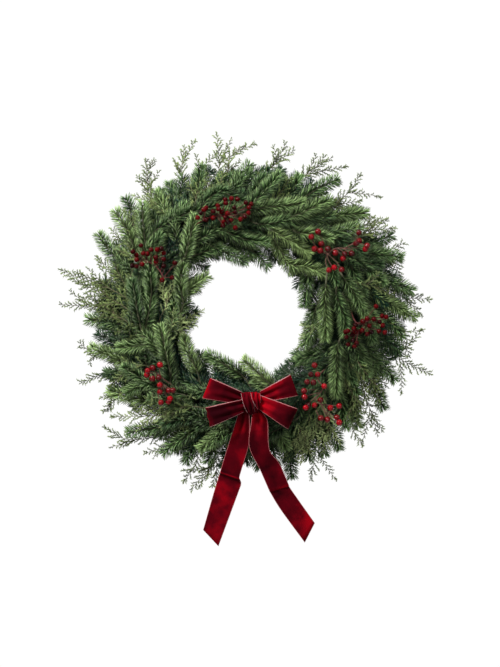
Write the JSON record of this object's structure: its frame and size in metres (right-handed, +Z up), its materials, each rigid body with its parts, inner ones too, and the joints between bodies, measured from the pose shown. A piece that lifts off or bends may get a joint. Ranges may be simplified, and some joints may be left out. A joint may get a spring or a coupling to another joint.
{
  "type": "fresh evergreen wreath",
  "caption": "Round wreath of fresh fir and juniper bound to a wire ring, with red berries and a double velvet bow at its foot.",
  "frame": {"origin": "underside of the wire ring at twelve o'clock, the point that rests on the hook which carries the wreath", "axes": "+Z up as the wreath hangs, +X to the right seen from the front, +Y to the back, towards the door; the front faces -Y"},
  "size_m": [0.707, 0.1241, 0.782],
  "materials": {
    "fir": "satin waxy needles",
    "juniper": "matt scaly foliage",
    "small_berries": "matt, slightly wrinkled skin",
    "large_berries": "high gloss skin",
    "ribbon": "velvet with satin edges",
    "ring": "dull green enamel",
    "wire": "green lacquer"
  },
  "bodies": {
    "root": {"berries_left": "small_berries", "berries_lower_left": "large_berries", "berries_lower_right": "large_berries", "berries_right": "small_berries", "berries_top": "small_berries", "berries_upper_right": "large_berries", "binding_wire": "wire", "bow_knot": "ribbon", "bow_loop_lower_left": "ribbon", "bow_loop_lower_right": "ribbon", "bow_loop_upper_left": "ribbon", "bow_loop_upper_right": "ribbon", "bow_tail_left": "ribbon", "bow_tail_right": "ribbon", "bow_wire": "wire", "fir_bunch_01": "fir", "fir_bunch_02": "fir", "fir_bunch_03": "fir", "fir_bunch_04": "fir", "fir_bunch_05": "fir", "fir_bunch_06": "fir", "fir_bunch_07": "fir", "fir_bunch_08": "fir", "fir_bunch_09": "fir", "fir_bunch_10": "fir", "fir_bunch_11": "fir", "fir_bunch_13": "fir", "fir_bunch_14": "fir", "fir_bunch_15": "fir", "fir_bunch_16": "fir", "fir_bunch_17": "fir", "fir_bunch_18": "fir", "fir_bunch_20": "fir", "fir_bunch_21": "fir", "fir_bunch_22": "fir", "fir_bunch_23": "fir", "fir_bunch_24": "fir", "juniper_spray_01": "juniper", "juniper_spray_02": "juniper", "juniper_spray_03": "juniper", "juniper_spray_04": "juniper", "juniper_spray_05": "juniper", "juniper_spray_06": "juniper", "juniper_spray_07": "juniper", "juniper_spray_08": "juniper", "juniper_spray_09": "juniper", "juniper_spray_10": "juniper", "juniper_spray_11": "juniper", "juniper_spray_12": "juniper", "juniper_spray_13": "juniper", "juniper_spray_14": "juniper", "juniper_spray_15": "juniper", "juniper_spray_16": "juniper", "wire_ring": "ring"}
  },
  "joints": []
}
